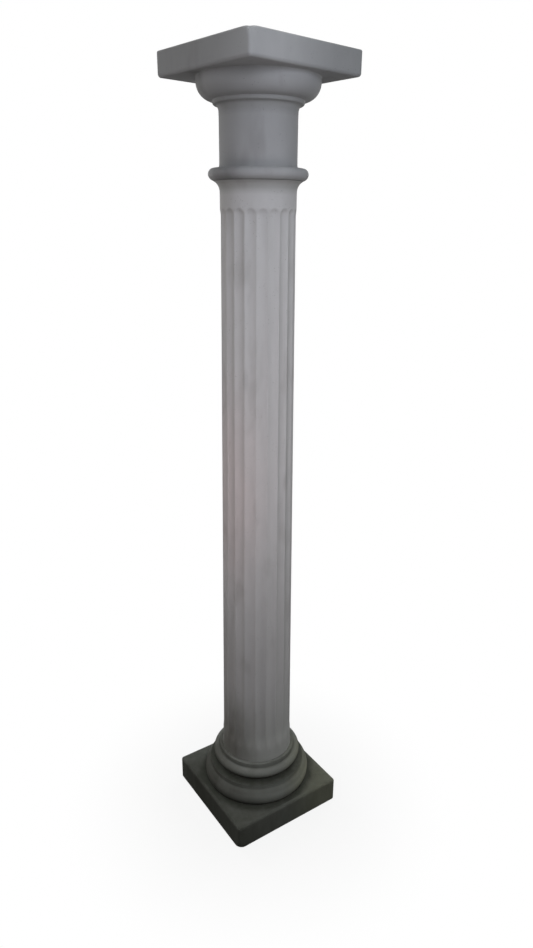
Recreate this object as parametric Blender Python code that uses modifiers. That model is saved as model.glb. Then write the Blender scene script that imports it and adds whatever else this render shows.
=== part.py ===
"""A cast doric column: a base with its square plinth, a fluted shaft, and a capital with its abacus.

Metres, with +Z up. The origin is the middle of the plinth's underside, and the plinth's sides run along
X and Y. Each casting is one closed object. Heights are given member by member, from the floor up. The
radii start from the shaft's own, and every moulding states how far it stands out from what it grows from.
"""

from math import acos, atan2, cos, hypot, pi, radians, sin, sqrt

import bpy

# Heights of the base's members
PLINTH_HEIGHT = 0.069
LOWER_TORUS_HEIGHT = 0.043
BASE_FILLET_HEIGHT = 0.011
SCOTIA_HEIGHT = 0.011
UPPER_TORUS_HEIGHT = 0.024
CINCTURE_HEIGHT = 0.0115

# Heights of the shaft's members
FOOT_FLARE_HEIGHT = 0.016
LOWER_BAND_HEIGHT = 0.028
FLUTED_HEIGHT = 1.300
UPPER_BAND_HEIGHT = 0.032
CAVETTO_HEIGHT = 0.0213

# Heights of the capital's members
ASTRAGAL_HEIGHT = 0.0237
NECK_COVE_HEIGHT = 0.0078
NECK_HEIGHT = 0.093
NECK_FLARE_HEIGHT = 0.013
ANNULET_HEIGHT = 0.0085
ECHINUS_HEIGHT = 0.041
ABACUS_HEIGHT = 0.047

# Shaft: arris radius at both ends of the fluted stretch, and what stands out from it
FLUTED_FOOT_RADIUS = 0.0884
FLUTED_HEAD_RADIUS = 0.0783
BAND_PROUD = 0.0012
BAND_RUNOUT = 0.012
FOOT_FLARE = 0.003

# Flutes: hollows of a round section, with round heads and narrow arrises between them
FLUTE_COUNT = 20
FLUTE_DEPTH = 0.0032
ARRIS_WIDTH = 0.0015

# Base: how far each member stands out, from the shaft's foot outwards
CINCTURE_STEP = 0.007
CINCTURE_LEDGE = 0.003
UPPER_TORUS_PROJECTION = 0.0155
UPPER_TORUS_UNDERCUT = 0.0075
UPPER_TORUS_SWELL = 0.013
SCOTIA_DEPTH = 0.0055
SCOTIA_SWELL = 0.018
BASE_FILLET_PROJECTION = 0.010
BASE_FILLET_LEDGE = 0.004
LOWER_TORUS_PROJECTION = 0.014
LOWER_TORUS_UNDERCUT = 0.008
LOWER_TORUS_SWELL = 0.022
PLINTH_MARGIN = 0.0145
PLINTH_EDGE = 0.007

# Capital: how far each member stands out from the neck, which carries the shaft's upper band on
ASTRAGAL_PROJECTION = 0.0235
ASTRAGAL_UNDERCUT = 0.0105
ASTRAGAL_CROWN_INSET = 0.0075
ASTRAGAL_SWELL = 0.015
CAVETTO_SWELL = 0.020
NECK_COVE = 0.0025
NECK_FLARE = 0.0065
ANNULET_PROJECTION = 0.0127
ANNULET_UNDERCUT = 0.004
ANNULET_CROWN_INSET = 0.001
ANNULET_SWELL = 0.004
ECHINUS_STEP = 0.0055
ECHINUS_PROJECTION = 0.0443
ECHINUS_CROWN_INSET = 0.0013
ECHINUS_SWELL = 0.032
ABACUS_MARGIN = 0.0192
ABACUS_EDGE = 0.007
CAPITAL_TURN = radians(7.1)

# How the castings meet, and how deep a turned part is rooted in its square block
JOINT_GAP = 0.0003
ROOT_DEPTH = 0.010

# Facets
TURNED_STEPS = 48
SHAFT_STEPS_PER_FLUTE = 3
ARC_SEGMENTS = 6
SHORT_ARC_SEGMENTS = 3
CUTTER_STEPS = 36
CUTTER_CAP_SEGMENTS = 9
EDGE_SEGMENTS = 3
SHARP_ANGLE = radians(35)
WELD = 0.00001

# Looks of the bare castings: linear colours and one roughness
BASE_COLOUR = (0.36, 0.37, 0.35)
SHAFT_COLOUR = (0.45, 0.45, 0.46)
CAPITAL_COLOUR = (0.42, 0.42, 0.42)
CAST_ROUGHNESS = 0.72

# Radii worked out from the shaft outwards
LOWER_BAND_RADIUS = FLUTED_FOOT_RADIUS + BAND_PROUD
UPPER_BAND_RADIUS = FLUTED_HEAD_RADIUS + BAND_PROUD
FOOT_RADIUS = LOWER_BAND_RADIUS + FOOT_FLARE
CINCTURE_RADIUS = FOOT_RADIUS + CINCTURE_STEP
UPPER_TORUS_RADIUS = CINCTURE_RADIUS + UPPER_TORUS_PROJECTION
SCOTIA_WAIST = UPPER_TORUS_RADIUS - UPPER_TORUS_UNDERCUT - SCOTIA_DEPTH
BASE_FILLET_RADIUS = UPPER_TORUS_RADIUS + BASE_FILLET_PROJECTION
LOWER_TORUS_RADIUS = BASE_FILLET_RADIUS + LOWER_TORUS_PROJECTION
PLINTH_SIDE = 2 * (LOWER_TORUS_RADIUS + PLINTH_MARGIN)
NECK_RADIUS = UPPER_BAND_RADIUS
ASTRAGAL_RADIUS = NECK_RADIUS + ASTRAGAL_PROJECTION
CAVETTO_RADIUS = ASTRAGAL_RADIUS - ASTRAGAL_UNDERCUT
ANNULET_RADIUS = NECK_RADIUS + ANNULET_PROJECTION
ECHINUS_RADIUS = NECK_RADIUS + ECHINUS_PROJECTION
ECHINUS_FOOT_RADIUS = ANNULET_RADIUS - ANNULET_CROWN_INSET + ECHINUS_STEP
ABACUS_SIDE = 2 * (ECHINUS_RADIUS + ABACUS_MARGIN)

# Heights above the floor worked out from the members
BASE_TOP = (PLINTH_HEIGHT + LOWER_TORUS_HEIGHT + BASE_FILLET_HEIGHT + SCOTIA_HEIGHT
            + UPPER_TORUS_HEIGHT + CINCTURE_HEIGHT)
SHAFT_BOTTOM = BASE_TOP + JOINT_GAP
FLUTES_BOTTOM = SHAFT_BOTTOM + FOOT_FLARE_HEIGHT + LOWER_BAND_HEIGHT
FLUTES_TOP = FLUTES_BOTTOM + FLUTED_HEIGHT
SHAFT_TOP = FLUTES_TOP + UPPER_BAND_HEIGHT + CAVETTO_HEIGHT
CAPITAL_BOTTOM = SHAFT_TOP + JOINT_GAP
ABACUS_BOTTOM = (CAPITAL_BOTTOM + ASTRAGAL_HEIGHT + NECK_COVE_HEIGHT + NECK_HEIGHT + NECK_FLARE_HEIGHT
                 + ANNULET_HEIGHT + ECHINUS_HEIGHT)


def ellipse_side(height, foot_inset, crown_inset, swell, segments):
    """Return points up the side of an ellipse as (inset from its widest point, height above the foot).

    The side is inset by foot_inset at its foot and by crown_inset at its crown. swell is the ellipse's half
    axis across, and the other half axis follows from the height.
    """
    start = -acos(1 - foot_inset / swell)
    end = acos(1 - crown_inset / swell)
    rise = height / (sin(end) - sin(start))
    turns = [start + (end - start) * i / segments for i in range(segments + 1)]
    return [(swell * (1 - cos(t)), rise * (sin(t) - sin(start))) for t in turns]


def bulge(height, belly, foot_inset, crown_inset, swell, segments=ARC_SEGMENTS):
    """Return a convex member: its height, and its points as (radius, height above its foot)."""
    side = ellipse_side(height, foot_inset, crown_inset, swell, segments)
    return height, [(belly - inset, z) for inset, z in side]


def hollow(height, waist, foot_outset, crown_outset, swell, segments=ARC_SEGMENTS):
    """Return a concave member, which stands out from its waist at the foot and at the crown."""
    side = ellipse_side(height, foot_outset, crown_outset, swell, segments)
    return height, [(waist + outset, z) for outset, z in side]


def straight(height, foot_radius, crown_radius):
    """Return a member with a straight side."""
    return height, [(foot_radius, 0.0), (crown_radius, height)]


def stack(bottom, members):
    """Stack members on each other from the height bottom up, and return one outline of (radius, z).

    A point that repeats the one below it is left out.
    """
    outline = []
    foot = bottom
    for height, points in members:
        for radius, z in points:
            point = (radius, foot + z)
            if not outline or hypot(point[0] - outline[-1][0], point[1] - outline[-1][1]) > WELD:
                outline.append(point)
        foot += height
    return outline


def base_outline():
    """Return the outline of the base's turned part, from its root in the plinth up."""
    torus_foot = LOWER_TORUS_RADIUS - LOWER_TORUS_UNDERCUT
    scotia_lip = BASE_FILLET_RADIUS - BASE_FILLET_LEDGE
    return stack(PLINTH_HEIGHT - ROOT_DEPTH, [
        straight(ROOT_DEPTH, torus_foot, torus_foot),
        bulge(LOWER_TORUS_HEIGHT, LOWER_TORUS_RADIUS, LOWER_TORUS_UNDERCUT, LOWER_TORUS_PROJECTION,
              LOWER_TORUS_SWELL),
        straight(BASE_FILLET_HEIGHT, BASE_FILLET_RADIUS, BASE_FILLET_RADIUS),
        hollow(SCOTIA_HEIGHT, SCOTIA_WAIST, scotia_lip - SCOTIA_WAIST, SCOTIA_DEPTH, SCOTIA_SWELL),
        bulge(UPPER_TORUS_HEIGHT, UPPER_TORUS_RADIUS, UPPER_TORUS_UNDERCUT,
              UPPER_TORUS_PROJECTION - CINCTURE_LEDGE, UPPER_TORUS_SWELL),
        straight(CINCTURE_HEIGHT, CINCTURE_RADIUS, CINCTURE_RADIUS),
    ])


def shaft_outline():
    """Return the outline of the shaft before its flutes are cut."""
    return stack(SHAFT_BOTTOM, [
        hollow(FOOT_FLARE_HEIGHT, LOWER_BAND_RADIUS, FOOT_FLARE, 0.0, FOOT_FLARE, SHORT_ARC_SEGMENTS),
        straight(LOWER_BAND_HEIGHT, LOWER_BAND_RADIUS, LOWER_BAND_RADIUS),
        straight(BAND_RUNOUT, LOWER_BAND_RADIUS, FLUTED_FOOT_RADIUS),
        straight(FLUTED_HEIGHT - 2 * BAND_RUNOUT, FLUTED_FOOT_RADIUS, FLUTED_HEAD_RADIUS),
        straight(BAND_RUNOUT, FLUTED_HEAD_RADIUS, UPPER_BAND_RADIUS),
        straight(UPPER_BAND_HEIGHT, UPPER_BAND_RADIUS, UPPER_BAND_RADIUS),
        hollow(CAVETTO_HEIGHT, UPPER_BAND_RADIUS, 0.0, CAVETTO_RADIUS - UPPER_BAND_RADIUS, CAVETTO_SWELL,
               SHORT_ARC_SEGMENTS),
    ])


def capital_outline():
    """Return the outline of the capital's turned part, from the joint up to its root in the abacus."""
    echinus_crown = ECHINUS_RADIUS - ECHINUS_CROWN_INSET
    return stack(CAPITAL_BOTTOM, [
        bulge(ASTRAGAL_HEIGHT, ASTRAGAL_RADIUS, ASTRAGAL_UNDERCUT, ASTRAGAL_CROWN_INSET, ASTRAGAL_SWELL),
        hollow(NECK_COVE_HEIGHT, NECK_RADIUS, NECK_COVE, 0.0, NECK_COVE, SHORT_ARC_SEGMENTS),
        straight(NECK_HEIGHT, NECK_RADIUS, NECK_RADIUS),
        hollow(NECK_FLARE_HEIGHT, NECK_RADIUS, 0.0, NECK_FLARE, NECK_FLARE, SHORT_ARC_SEGMENTS),
        bulge(ANNULET_HEIGHT, ANNULET_RADIUS, ANNULET_UNDERCUT, ANNULET_CROWN_INSET, ANNULET_SWELL,
              SHORT_ARC_SEGMENTS),
        bulge(ECHINUS_HEIGHT, ECHINUS_RADIUS, ECHINUS_RADIUS - ECHINUS_FOOT_RADIUS, ECHINUS_CROWN_INSET,
              ECHINUS_SWELL),
        straight(ROOT_DEPTH, echinus_crown, echinus_crown),
    ])


def new_collection(name):
    """Add a collection to the scene."""
    collection = bpy.data.collections.new(name)
    bpy.context.scene.collection.children.link(collection)
    return collection


def turned(name, outline, collection, steps=TURNED_STEPS):
    """Turn an outline, given from the bottom up, about the Z axis into a closed solid."""
    closed = [(0.0, outline[0][1]), *outline, (0.0, outline[-1][1])]
    points = [(radius, 0.0, z) for radius, z in reversed(closed)]
    edges = [(i, i + 1) for i in range(len(points) - 1)]
    mesh = bpy.data.meshes.new(name)
    mesh.from_pydata(points, edges, [])
    piece = bpy.data.objects.new(name, mesh)
    collection.objects.link(piece)
    screw = piece.modifiers.new("turn", 'SCREW')
    screw.angle = 2 * pi
    screw.steps = steps
    screw.render_steps = steps
    screw.use_smooth_shade = True
    screw.use_merge_vertices = True
    screw.merge_threshold = WELD
    return piece


def square_block(name, side, bottom, height, edge, collection):
    """Add a square block with rounded edges, centred on the axis."""
    bpy.ops.mesh.primitive_cube_add(size=1.0)
    piece = bpy.context.object
    piece.name = name
    piece.data.name = name
    for owner in list(piece.users_collection):
        owner.objects.unlink(piece)
    collection.objects.link(piece)
    for vertex in piece.data.vertices:
        vertex.co.x *= side
        vertex.co.y *= side
        vertex.co.z = bottom + (vertex.co.z + 0.5) * height
    bevel = piece.modifiers.new("rounded edges", 'BEVEL')
    bevel.width = edge
    bevel.segments = EDGE_SEGMENTS
    bevel.limit_method = 'ANGLE'
    return piece


def as_helper(piece):
    """Mark an object that only takes part in Booleans."""
    piece.hide_render = True
    piece.display_type = 'WIRE'


def settle(piece):
    """Swap a piece's modifiers for the mesh that they make, smooth but for its sharp edges."""
    depsgraph = bpy.context.evaluated_depsgraph_get()
    mesh = bpy.data.meshes.new_from_object(piece.evaluated_get(depsgraph))
    mesh.name = piece.name
    piece.modifiers.clear()
    piece.data = mesh
    mesh.shade_smooth()
    mesh.set_sharp_from_angle(angle=SHARP_ANGLE)


def cast_material(name, colour):
    """Return a matt cast material of the given colour."""
    material = bpy.data.materials.new(name)
    material.use_nodes = True
    shader = material.node_tree.nodes["Principled BSDF"]
    shader.inputs["Base Color"].default_value = (*colour, 1.0)
    shader.inputs["Roughness"].default_value = CAST_ROUGHNESS
    shader.inputs["Metallic"].default_value = 0.0
    material.diffuse_color = (*colour, 1.0)
    return material


def join_turned(block, name, outline, helpers):
    """Join a turned part to its square block."""
    part = turned(name, outline, helpers)
    as_helper(part)
    union = block.modifiers.new("turned part", 'BOOLEAN')
    union.operation = 'UNION'
    union.solver = 'EXACT'
    union.object = part
    settle(block)


def flute_section(arris_radius):
    """Return how a flute's round section sits in a shaft of the given arris radius.

    Returns the radius of the rod that cuts it, the distance of the rod's axis from the shaft's axis, and
    how far the flute's round head reaches past the centre of the rod's round end.
    """
    half_width = arris_radius * sin(pi / FLUTE_COUNT) - ARRIS_WIDTH / 2
    chord = sqrt(arris_radius ** 2 - half_width ** 2)
    rod = (half_width ** 2 + FLUTE_DEPTH ** 2) / (2 * FLUTE_DEPTH)
    axis = chord - FLUTE_DEPTH + rod
    head = sqrt(rod ** 2 - (axis - arris_radius) ** 2)
    return rod, axis, head


def round_end(radius, centre, top):
    """Return a quarter circle from the pole of a rod's round end to its side, or back to the upper pole."""
    quarter = [pi / 2 * i / CUTTER_CAP_SEGMENTS for i in range(1, CUTTER_CAP_SEGMENTS + 1)]
    if top:
        return [(radius * sin(t), centre + radius * cos(t)) for t in reversed(quarter)]
    return [(radius * sin(t), centre - radius * cos(t)) for t in quarter]


def flute_cutter(index, collection):
    """Add the round-ended, tapered rod that cuts one flute, leaning with the shaft's taper."""
    low_rod, low_axis, low_head = flute_section(FLUTED_FOOT_RADIUS)
    high_rod, high_axis, high_head = flute_section(FLUTED_HEAD_RADIUS)
    low_z = FLUTES_BOTTOM + low_head
    high_z = FLUTES_TOP - high_head
    length = hypot(high_z - low_z, low_axis - high_axis)
    lean = atan2(low_axis - high_axis, high_z - low_z)
    outline = round_end(low_rod, 0.0, False) + round_end(high_rod, length, True)
    cutter = turned(f"flute_cutter_{index + 1:02d}", outline, collection, CUTTER_STEPS)
    around = 2 * pi * (index + 0.5) / FLUTE_COUNT
    cutter.location = (low_axis * cos(around), low_axis * sin(around), low_z)
    cutter.rotation_euler = (0.0, -lean, around)
    as_helper(cutter)


def make_base(parts, helpers):
    """Make the base: the plinth, with the turned mouldings cast on it."""
    base = square_block("base", PLINTH_SIDE, 0.0, PLINTH_HEIGHT, PLINTH_EDGE, parts)
    join_turned(base, "base_mouldings", base_outline(), helpers)
    base.data.materials.append(cast_material("cast_base", BASE_COLOUR))


def make_shaft(parts, cutters):
    """Make the shaft: turned to its taper, then cut with its flutes."""
    shaft = turned("shaft", shaft_outline(), parts, SHAFT_STEPS_PER_FLUTE * FLUTE_COUNT)
    for index in range(FLUTE_COUNT):
        flute_cutter(index, cutters)
    cut = shaft.modifiers.new("flutes", 'BOOLEAN')
    cut.operation = 'DIFFERENCE'
    cut.solver = 'EXACT'
    cut.operand_type = 'COLLECTION'
    cut.collection = cutters
    settle(shaft)
    shaft.data.materials.append(cast_material("cast_shaft", SHAFT_COLOUR))


def make_capital(parts, helpers):
    """Make the capital: the turned part from astragal to echinus under the abacus, all turned askew."""
    capital = square_block("capital", ABACUS_SIDE, ABACUS_BOTTOM, ABACUS_HEIGHT, ABACUS_EDGE, parts)
    join_turned(capital, "capital_mouldings", capital_outline(), helpers)
    capital.rotation_euler = (0.0, 0.0, CAPITAL_TURN)
    capital.data.materials.append(cast_material("cast_capital", CAPITAL_COLOUR))


def main():
    """Clear the scene and build the column."""
    for piece in list(bpy.data.objects):
        bpy.data.objects.remove(piece, do_unlink=True)
    parts = new_collection("doric_column")
    helpers = new_collection("turned_parts")
    cutters = new_collection("flute_cutters")
    make_base(parts, helpers)
    make_shaft(parts, cutters)
    make_capital(parts, helpers)


main()
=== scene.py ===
"""Dresses a cast doric column: three fine castings in place of the solids, their finish, and the studio.

Metres, with +Z up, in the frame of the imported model. Each casting is one closed skin that keeps its solid's
outline, with its creases and arrises softened as they come out of a mould, and stands for its own solid.
"""

import logging
from dataclasses import dataclass, field, replace
from enum import Enum
from math import acos, cos, pi, radians, sin
from typing import Callable, Mapping, Sequence, Union

import bpy
import numpy as np
from mathutils import Matrix, Vector


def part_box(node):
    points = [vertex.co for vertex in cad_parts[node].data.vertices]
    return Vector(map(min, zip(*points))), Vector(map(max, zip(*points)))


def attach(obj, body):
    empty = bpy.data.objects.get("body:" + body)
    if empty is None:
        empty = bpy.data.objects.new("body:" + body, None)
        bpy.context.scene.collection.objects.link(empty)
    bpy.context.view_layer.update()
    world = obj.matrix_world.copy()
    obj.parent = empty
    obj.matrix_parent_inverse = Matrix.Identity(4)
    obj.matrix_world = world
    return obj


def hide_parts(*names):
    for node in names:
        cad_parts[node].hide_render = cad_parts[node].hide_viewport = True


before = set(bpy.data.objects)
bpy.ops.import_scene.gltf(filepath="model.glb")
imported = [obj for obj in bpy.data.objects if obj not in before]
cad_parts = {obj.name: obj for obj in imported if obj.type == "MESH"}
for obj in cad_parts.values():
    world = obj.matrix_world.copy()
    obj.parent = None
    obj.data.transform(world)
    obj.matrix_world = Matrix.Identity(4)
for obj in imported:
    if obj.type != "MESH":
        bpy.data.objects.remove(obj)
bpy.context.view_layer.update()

Colour = tuple[float, float, float]
Operand = Union["Socket", float]
BODY = "root"
CREASE = "crease"
FLAT_RINGS = (0.25, 0.7)  # Where rings lie on a flat end, as shares of the way out from its middle.
SEAM = 0.00001  # How close points lie that a seam joins.
CUT_EDGE = 0.0001  # The range over which a cut that is too deep for a flute is taken back.
WHITE = (1.0, 1.0, 1.0, 1.0)

log = logging.getLogger("column")


class Form(Enum):
    """How a moulding's side runs from its foot to its crown."""

    STRAIGHT = "straight"
    BULGE = "bulge"
    HOLLOW = "hollow"


class Blend(Enum):
    """How one colour is laid over another."""

    MIX = 'MIX'
    MULTIPLY = 'MULTIPLY'


class Input(Enum):
    """The kinds of input that a Geometry Nodes tree takes here."""

    GEOMETRY = 'NodeSocketGeometry'
    NUMBER = 'NodeSocketFloat'
    COUNT = 'NodeSocketInt'
    MATERIAL = 'NodeSocketMaterial'


def joined(operation: str, reflected: bool = False) -> Callable[["Socket", Operand], "Socket"]:
    """Make an operator of Socket, which adds one kind of Math node.

    Args:
        operation: What the node does.
        reflected: Whether the other operand comes first.

    Returns:
        The operator.
    """
    def operator(self: "Socket", other: Operand) -> "Socket":
        """Return the result of the node on both operands."""
        return self.maker.maths(operation, *((other, self) if reflected else (self, other)))

    return operator


class Socket:
    """A node's output that joins Python expressions: each operator adds the Math node that it stands for."""

    __add__ = joined('ADD')
    __radd__ = joined('ADD', reflected=True)
    __sub__ = joined('SUBTRACT')
    __rsub__ = joined('SUBTRACT', reflected=True)
    __mul__ = joined('MULTIPLY')
    __rmul__ = joined('MULTIPLY', reflected=True)
    __truediv__ = joined('DIVIDE')
    at_least = joined('MAXIMUM')
    at_most = joined('MINIMUM')

    def __init__(self, maker: "NodeMaker", output: bpy.types.NodeSocket) -> None:
        """Wrap an output.

        Args:
            maker: The maker that adds nodes to the output's tree.
            output: The output to wrap.
        """
        self.maker = maker
        self.output = output

    def root(self) -> "Socket":
        """Return the square root, or zero where self is negative."""
        return self.maker.maths('SQRT', self.at_least(0.0))

    def held(self) -> "Socket":
        """Return self, held between 0 and 1."""
        return self.at_least(0.0).at_most(1.0)

    def ramp(self, low: float, high: float) -> "Socket":
        """Return a smooth step from 0, where self is low, to 1, where it is high."""
        return self.maker.add('ShaderNodeMapRange', {"interpolation_type": 'SMOOTHSTEP'},
                              {"Value": self, "From Min": low, "From Max": high})

    def sibling(self, name: str) -> "Socket":
        """Return another output of the same node."""
        return Socket(self.maker, self.maker.find(self.output.node.outputs, name))


@dataclass(frozen=True)
class Noise:
    """A pattern of soft patches.

    Attributes:
        scale: About how many patches there are to a metre.
        detail: How many finer layers lie over them.
        roughness: How strong the finer layers are.
    """

    scale: float
    detail: float
    roughness: float = 0.5


class NodeMaker:
    """Adds nodes to one tree and links them."""

    def __init__(self, tree: bpy.types.NodeTree) -> None:
        """Take the tree that the nodes go into.

        Args:
            tree: A shader or Geometry Nodes tree.
        """
        self.tree = tree

    @staticmethod
    def find(sockets: Sequence[bpy.types.NodeSocket], key: str | int) -> bpy.types.NodeSocket:
        """Find a socket by its place, its identifier or its name.

        Args:
            sockets: A node's inputs or outputs.
            key: The place, identifier or name.

        Returns:
            The first such socket that is in use.
        """
        if isinstance(key, int):
            return sockets[key]
        named = [s for s in sockets if key in (s.identifier, s.name) and s.enabled]
        return named[0]

    def add(self, kind: str, settings: Mapping[str, object] | None = None,
            inputs: Mapping[str | int, object] | None = None, output: str | int = 0) -> Socket:
        """Add a node.

        Args:
            kind: The node's type.
            settings: The node's properties, set before its sockets.
            inputs: A value or a Socket for each input, by place, identifier or name.
            output: The output to return.

        Returns:
            That output.
        """
        node = self.tree.nodes.new(kind)
        for name, value in (settings or {}).items():
            setattr(node, name, value)
        for key, value in (inputs or {}).items():
            target = self.find(node.inputs, key)
            if isinstance(value, Socket):
                self.tree.links.new(value.output, target)
            else:
                target.default_value = value
        return Socket(self, self.find(node.outputs, output))

    def maths(self, operation: str, *operands: Operand) -> Socket:
        """Return the result of a Math node on one, two or three operands."""
        return self.add('ShaderNodeMath', {"operation": operation}, dict(enumerate(operands)))

    def scaled(self, vector: Socket, scale: Colour) -> Socket:
        """Return a vector multiplied by a scale for each of its directions."""
        return self.add('ShaderNodeVectorMath', {"operation": 'MULTIPLY'}, {0: vector, 1: scale})

    def blend(self, share: Operand, under: Socket | Colour, over: Socket | Colour,
              kind: Blend = Blend.MIX) -> Socket:
        """Lay one colour over another.

        Args:
            share: How much of the upper colour shows, from 0 to 1.
            under: The lower colour.
            over: The upper colour.
            kind: How the upper colour acts.

        Returns:
            The blended colour.
        """
        colours = [c if isinstance(c, Socket) else (*c, 1.0) for c in (under, over)]
        return self.add('ShaderNodeMix', {"data_type": 'RGBA', "blend_type": kind.value},
                        {"Factor_Float": share, "A_Color": colours[0], "B_Color": colours[1]}, "Result_Color")

    def noise(self, vector: Socket, pattern: Noise) -> Socket:
        """Return a noise of about 0 to 1."""
        return self.add('ShaderNodeTexNoise', {"noise_dimensions": '3D'}, {
            "Vector": vector, "Scale": pattern.scale, "Detail": pattern.detail,
            "Roughness": pattern.roughness})

    def height(self, place: Socket) -> Socket:
        """Return the z of a place."""
        return self.add('ShaderNodeSeparateXYZ', inputs={0: place}, output="Z")


class GeometryTree:
    """A Geometry Nodes tree with named inputs, which ends in Realize Instances and Set Material."""

    def __init__(self, name: str, values: Mapping[str, float | int]) -> None:
        """Start the tree.

        Args:
            name: The tree's name.
            values: The value of each named input. Geometry and Finish are added to them.
        """
        self.tree = bpy.data.node_groups.new(name, 'GeometryNodeTree')
        self.maker = NodeMaker(self.tree)
        self.values = values
        self.identifiers: dict[str, str] = {}
        kinds = {label: Input.COUNT if isinstance(value, int) else Input.NUMBER
                 for label, value in values.items()}
        for label, kind in {"Geometry": Input.GEOMETRY, **kinds, "Finish": Input.MATERIAL}.items():
            socket = self.tree.interface.new_socket(label, in_out='INPUT', socket_type=kind.value)
            self.identifiers[label] = socket.identifier
        self.tree.interface.new_socket("Geometry", in_out='OUTPUT', socket_type=Input.GEOMETRY.value)
        self.entry = self.maker.add('NodeGroupInput')

    def given(self, label: str) -> Socket:
        """Return the value of a named input."""
        return self.entry.sibling(label)

    def close(self, geometry: Socket) -> None:
        """End the tree.

        Args:
            geometry: What the tree has made.
        """
        whole = self.maker.add('GeometryNodeRealizeInstances', inputs={"Geometry": geometry})
        dressed = self.maker.add('GeometryNodeSetMaterial',
                                 inputs={"Geometry": whole, "Material": self.given("Finish")})
        end = self.tree.nodes.new('NodeGroupOutput')
        self.tree.links.new(dressed.output, end.inputs[0])

    def apply(self, piece: bpy.types.Object, finish: bpy.types.Material) -> None:
        """Run the tree on a piece and keep the mesh that it makes.

        Args:
            piece: The piece whose mesh the tree takes.
            finish: The material that the tree gives it.
        """
        modifier = piece.modifiers.new(self.tree.name, 'NODES')
        modifier.node_group = self.tree
        for label, value in {**self.values, "Finish": finish}.items():
            modifier[self.identifiers[label]] = value
        depsgraph = bpy.context.evaluated_depsgraph_get()
        made = bpy.data.meshes.new_from_object(piece.evaluated_get(depsgraph), preserve_all_data_layers=True,
                                               depsgraph=depsgraph)
        piece.modifiers.remove(modifier)
        old = piece.data
        made.name = piece.name
        piece.data = made
        bpy.data.meshes.remove(old)


@dataclass(frozen=True)
class Member:
    """One moulding of a turned part.

    Attributes:
        form: How its side runs.
        height: Its height.
        proud: How far it stands out from the part's own radius, at the belly of a bulge, the waist of a
            hollow or the foot of a straight side.
        foot: How far its foot lies in from the belly, or out from the waist.
        crown: The same for its crown, or how far the crown of a straight side lies out from its foot.
        swell: The half axis across of the ellipse that a curved side is a part of.
    """

    form: Form
    height: float
    proud: float = 0.0
    foot: float = 0.0
    crown: float = 0.0
    swell: float = 0.0

    def side(self, radius: float, bottom: float, steps: int = 24) -> list[tuple[float, float]]:
        """Divide the member's side into short stretches.

        Args:
            radius: The part's own radius.
            bottom: The height of the member's foot.
            steps: How many stretches a curved side is divided into.

        Returns:
            The side's points as (radius, z), from the foot up.
        """
        own = radius + self.proud
        if self.form is Form.STRAIGHT:
            return [(own, bottom), (own + self.crown, bottom + self.height)]
        way = -1.0 if self.form is Form.BULGE else 1.0
        start = -acos(1.0 - self.foot / self.swell)
        end = acos(1.0 - self.crown / self.swell)
        rise = self.height / (sin(end) - sin(start))
        turns = [start + (end - start) * i / steps for i in range(steps + 1)]
        return [(own + way * self.swell * (1.0 - cos(t)), bottom + rise * (sin(t) - sin(start)))
                for t in turns]


def stacked(bottom: float, radius: float, members: Sequence[Member]) -> np.ndarray:
    """Stack members on each other.

    Args:
        bottom: The height of the lowest one's foot.
        radius: The part's own radius.
        members: The members from the lowest up.

    Returns:
        One outline as rows of (radius, z).
    """
    points = []
    foot = bottom
    for member in members:
        points += member.side(radius, foot)
        foot += member.height
    return np.array(points)


def with_flat_ends(side: np.ndarray, low_radius: float, high_radius: float) -> np.ndarray:
    """Lead an outline in along the flat below it, from one radius, and out along the one above to another."""
    return np.vstack([[low_radius, side[0, 1]], side, [high_radius, side[-1, 1]]])


@dataclass(frozen=True)
class Pocket:
    """A stretch of an outline that is darkened: painted shade in a hollow or under a moulding, with soiling
    at a joint.

    Attributes:
        height: The height of its middle.
        reach: How far it reaches up and down, with nothing left at its ends and all of it in its inner half.
        fill: How dark it is made.
    """

    height: float
    reach: float
    fill: float = 1.0

    def at(self, foot: float) -> "Pocket":
        """Return a pocket whose height was measured from some foot, with its true height."""
        return replace(self, height=self.height + foot)

    def share(self, heights: np.ndarray) -> np.ndarray:
        """Return how dark it is made at each of some heights."""
        return self.fill * np.clip(2.0 - 2.0 * abs(heights - self.height) / self.reach, 0.0, 1.0)


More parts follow.
